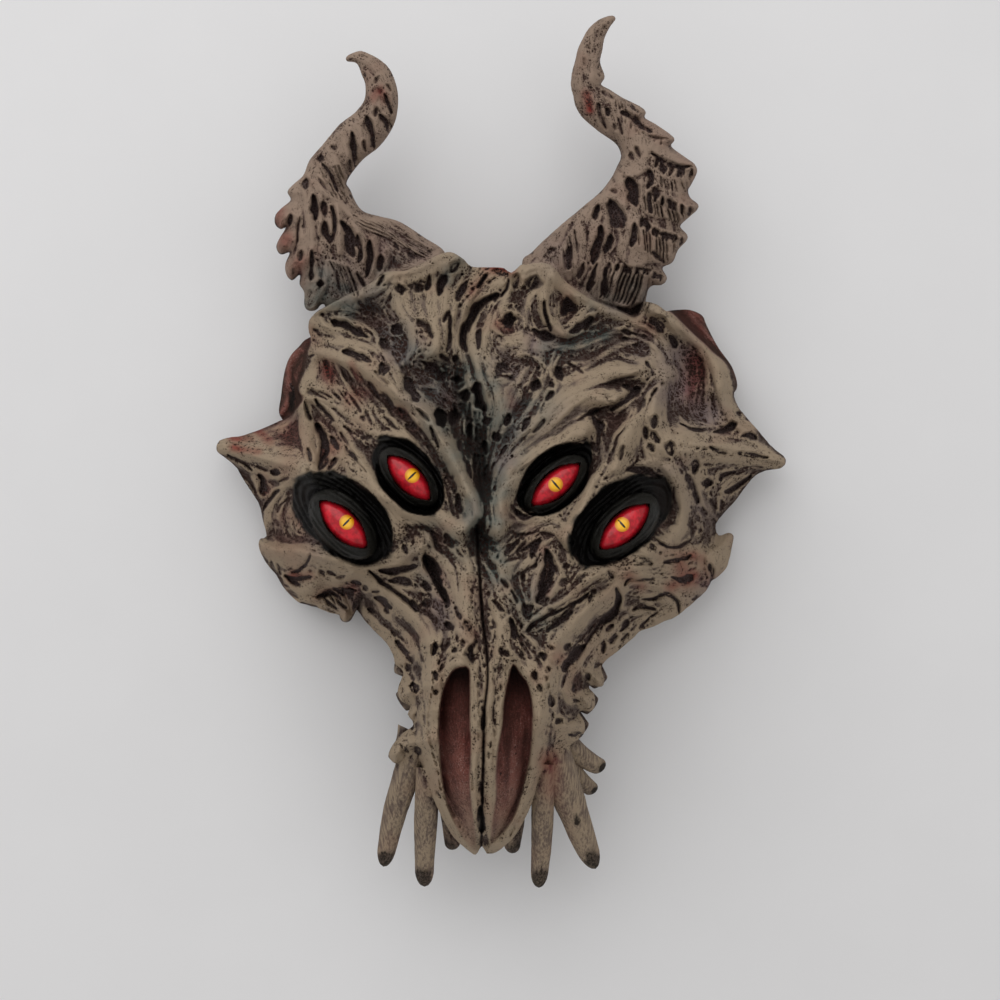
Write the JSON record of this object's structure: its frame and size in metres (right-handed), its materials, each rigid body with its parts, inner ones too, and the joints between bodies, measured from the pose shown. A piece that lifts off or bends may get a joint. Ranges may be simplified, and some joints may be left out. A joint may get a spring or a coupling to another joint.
{
  "type": "horned demon mask",
  "caption": "Cast resin wall mask of a horned demon's long bony face, hollow behind, with set-in red eyes, cheek spikes, a cleft snout and fangs.",
  "frame": {"origin": "on the surface the mask lies on, under the middle of its box", "axes": "+X to the right of the face as it is looked at, +Y from the fangs towards the horns, +Z out of the face"},
  "size_m": [0.2528, 0.3742, 0.1045],
  "materials": {
    "bone": "matte painted resin, tan over a dark wash",
    "horn": "matte painted resin, brown over a dark wash",
    "red_eye": "high gloss"
  },
  "bodies": {
    "root": {"mask": "bone", "horn_left": "horn", "horn_right": "horn", "eye_outer_left": "red_eye", "eye_inner_left": "red_eye", "eye_inner_right": "red_eye", "eye_outer_right": "red_eye"}
  },
  "joints": []
}
